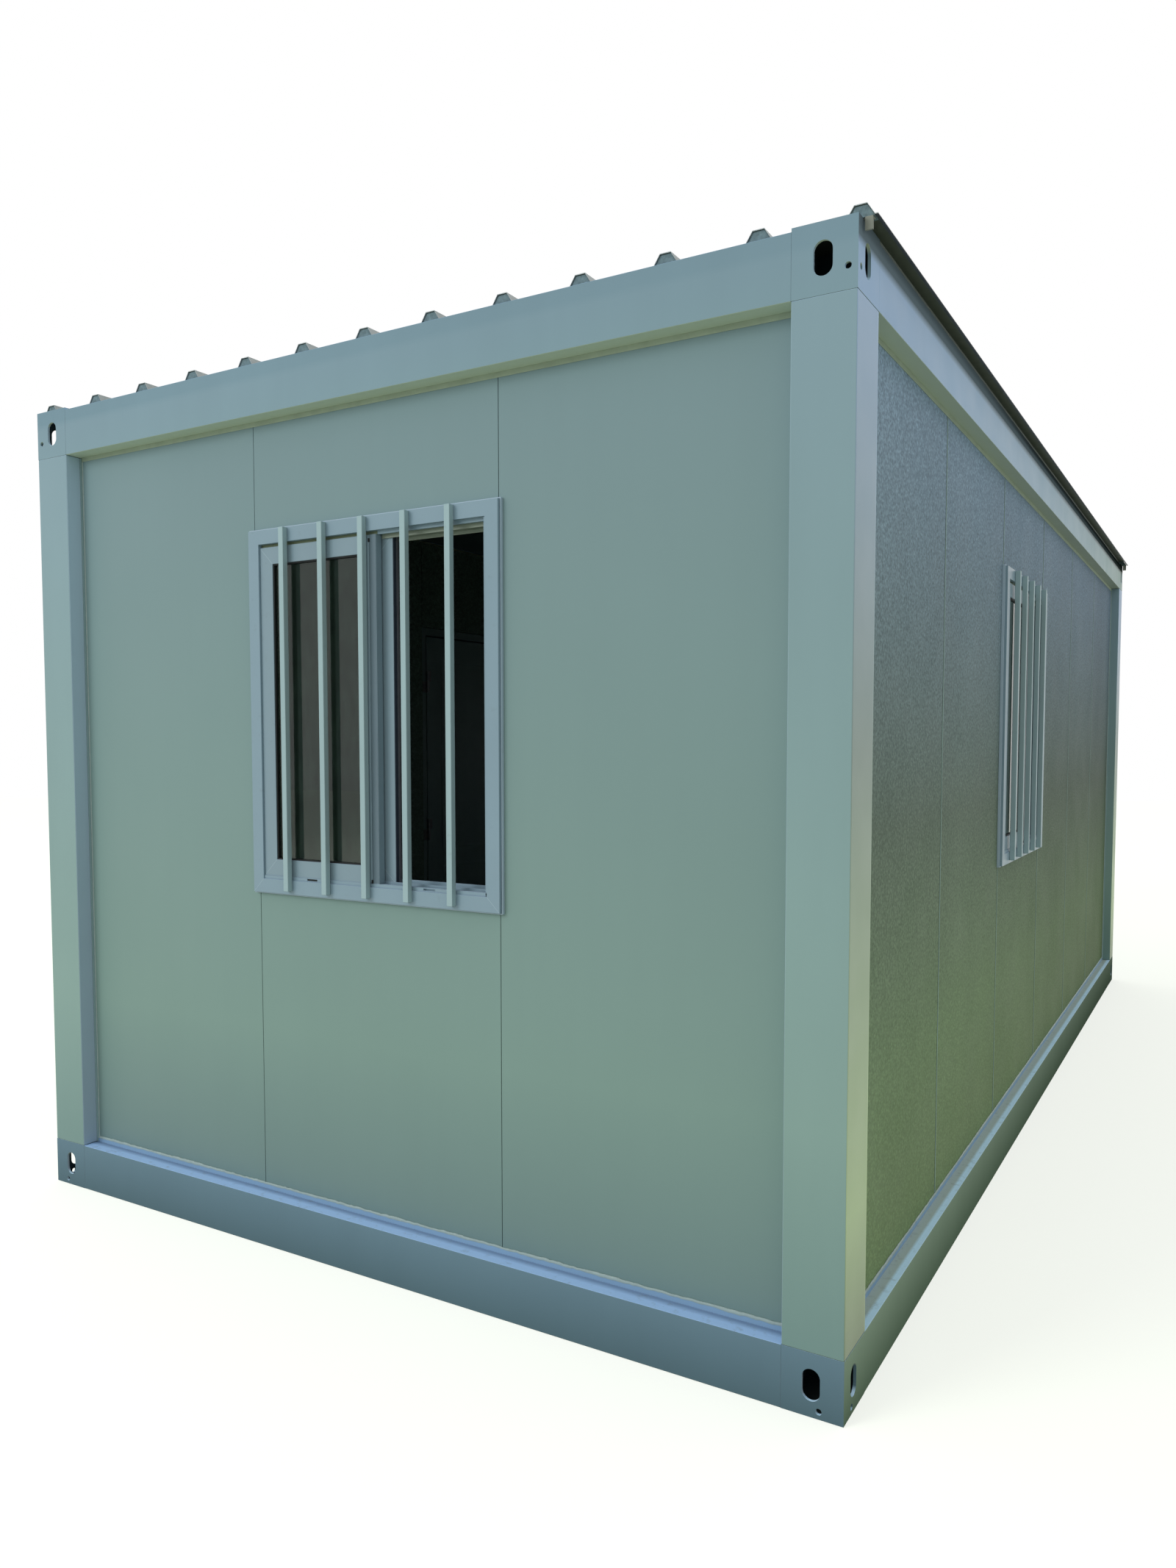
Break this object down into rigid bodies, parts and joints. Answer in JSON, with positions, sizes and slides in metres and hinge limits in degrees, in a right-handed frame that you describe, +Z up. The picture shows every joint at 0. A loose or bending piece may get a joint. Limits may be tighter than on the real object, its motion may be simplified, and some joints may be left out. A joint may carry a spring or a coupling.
{
  "type": "flat-pack modular cabin",
  "caption": "Single-storey modular cabin on a steel frame of corner posts, hollow corner fittings and folded beams, closed with sandwich panels, barred sliding windows and a ribbed roof sheet.",
  "frame": {"origin": "middle of the footprint, on the ground under the bottom corner fittings", "axes": "+Z up; the long axis is Y and the front end, with a window, faces -Y; the right long side, with a window, faces +X; the left long side, with the door, faces -X; the back end faces +Y"},
  "size_m": [3.07, 6, 2.85],
  "materials": {
    "frame_paint": "satin pale grey paint on folded steel",
    "wall_panel_steel": "smooth pale grey coil-coated steel",
    "embossed_panel_steel": "pale grey coil-coated steel with an embossed, faintly glossy texture",
    "window_pvc": "white window profile",
    "window_glass": "clear float glass, dark against the room",
    "bar_paint": "off-white paint on square steel tube",
    "roof_sheet_steel": "pale coated ribbed sheet",
    "galvanised_steel": "galvanised, dull",
    "floor_board": "floor board with a plain vinyl face",
    "door_paint": "satin pale grey paint",
    "door_handle_metal": "satin lever and plate"
  },
  "bodies": {
    "cabin": {"bottom_fitting_front_left": "frame_paint", "bottom_fitting_front_right": "frame_paint", "bottom_fitting_back_left": "frame_paint", "bottom_fitting_back_right": "frame_paint", "top_fitting_front_left": "frame_paint", "top_fitting_front_right": "frame_paint", "top_fitting_back_left": "frame_paint", "top_fitting_back_right": "frame_paint", "post_front_left": "frame_paint", "post_front_right": "frame_paint", "post_back_left": "frame_paint", "post_back_right": "frame_paint", "floor_beam_front": "frame_paint", "floor_beam_back": "frame_paint", "floor_beam_left": "frame_paint", "floor_beam_right": "frame_paint", "roof_beam_front": "frame_paint", "roof_beam_back": "frame_paint", "roof_beam_left": "frame_paint", "roof_beam_right": "frame_paint", "floor_joists": "galvanised_steel", "floor_deck": "floor_board", "ceiling": "wall_panel_steel", "roof_purlins": "galvanised_steel", "roof_sheet": "roof_sheet_steel", "front_wall_panels": "wall_panel_steel", "back_wall_panels": "wall_panel_steel", "right_wall_panels": "embossed_panel_steel", "left_wall_panels": "embossed_panel_steel", "front_window_panels": "wall_panel_steel", "back_window_panels": "wall_panel_steel", "right_window_panels": "embossed_panel_steel", "door_head_panel": "embossed_panel_steel", "front_window_frame": "window_pvc", "front_window_sashes": "window_pvc", "front_window_glass": "window_glass", "front_window_bars": "bar_paint", "back_window_frame": "window_pvc", "back_window_sashes": "window_pvc", "back_window_glass": "window_glass", "back_window_bars": "bar_paint", "right_window_frame": "window_pvc", "right_window_sashes": "window_pvc", "right_window_glass": "window_glass", "right_window_bars": "bar_paint", "door_frame": "door_paint", "door_frame_hinges": "galvanised_steel"},
    "door": {"door_leaf": "door_paint", "door_leaf_hinges": "galvanised_steel", "door_handles": "door_handle_metal"}
  },
  "joints": [
    {"name": "door_swing", "type": "hinge", "parent": "cabin", "child": "door", "pos_m": [-1.3745, -0.9065, 1], "axis": [0, 0, -1], "range_deg": [0, 90]}
  ]
}
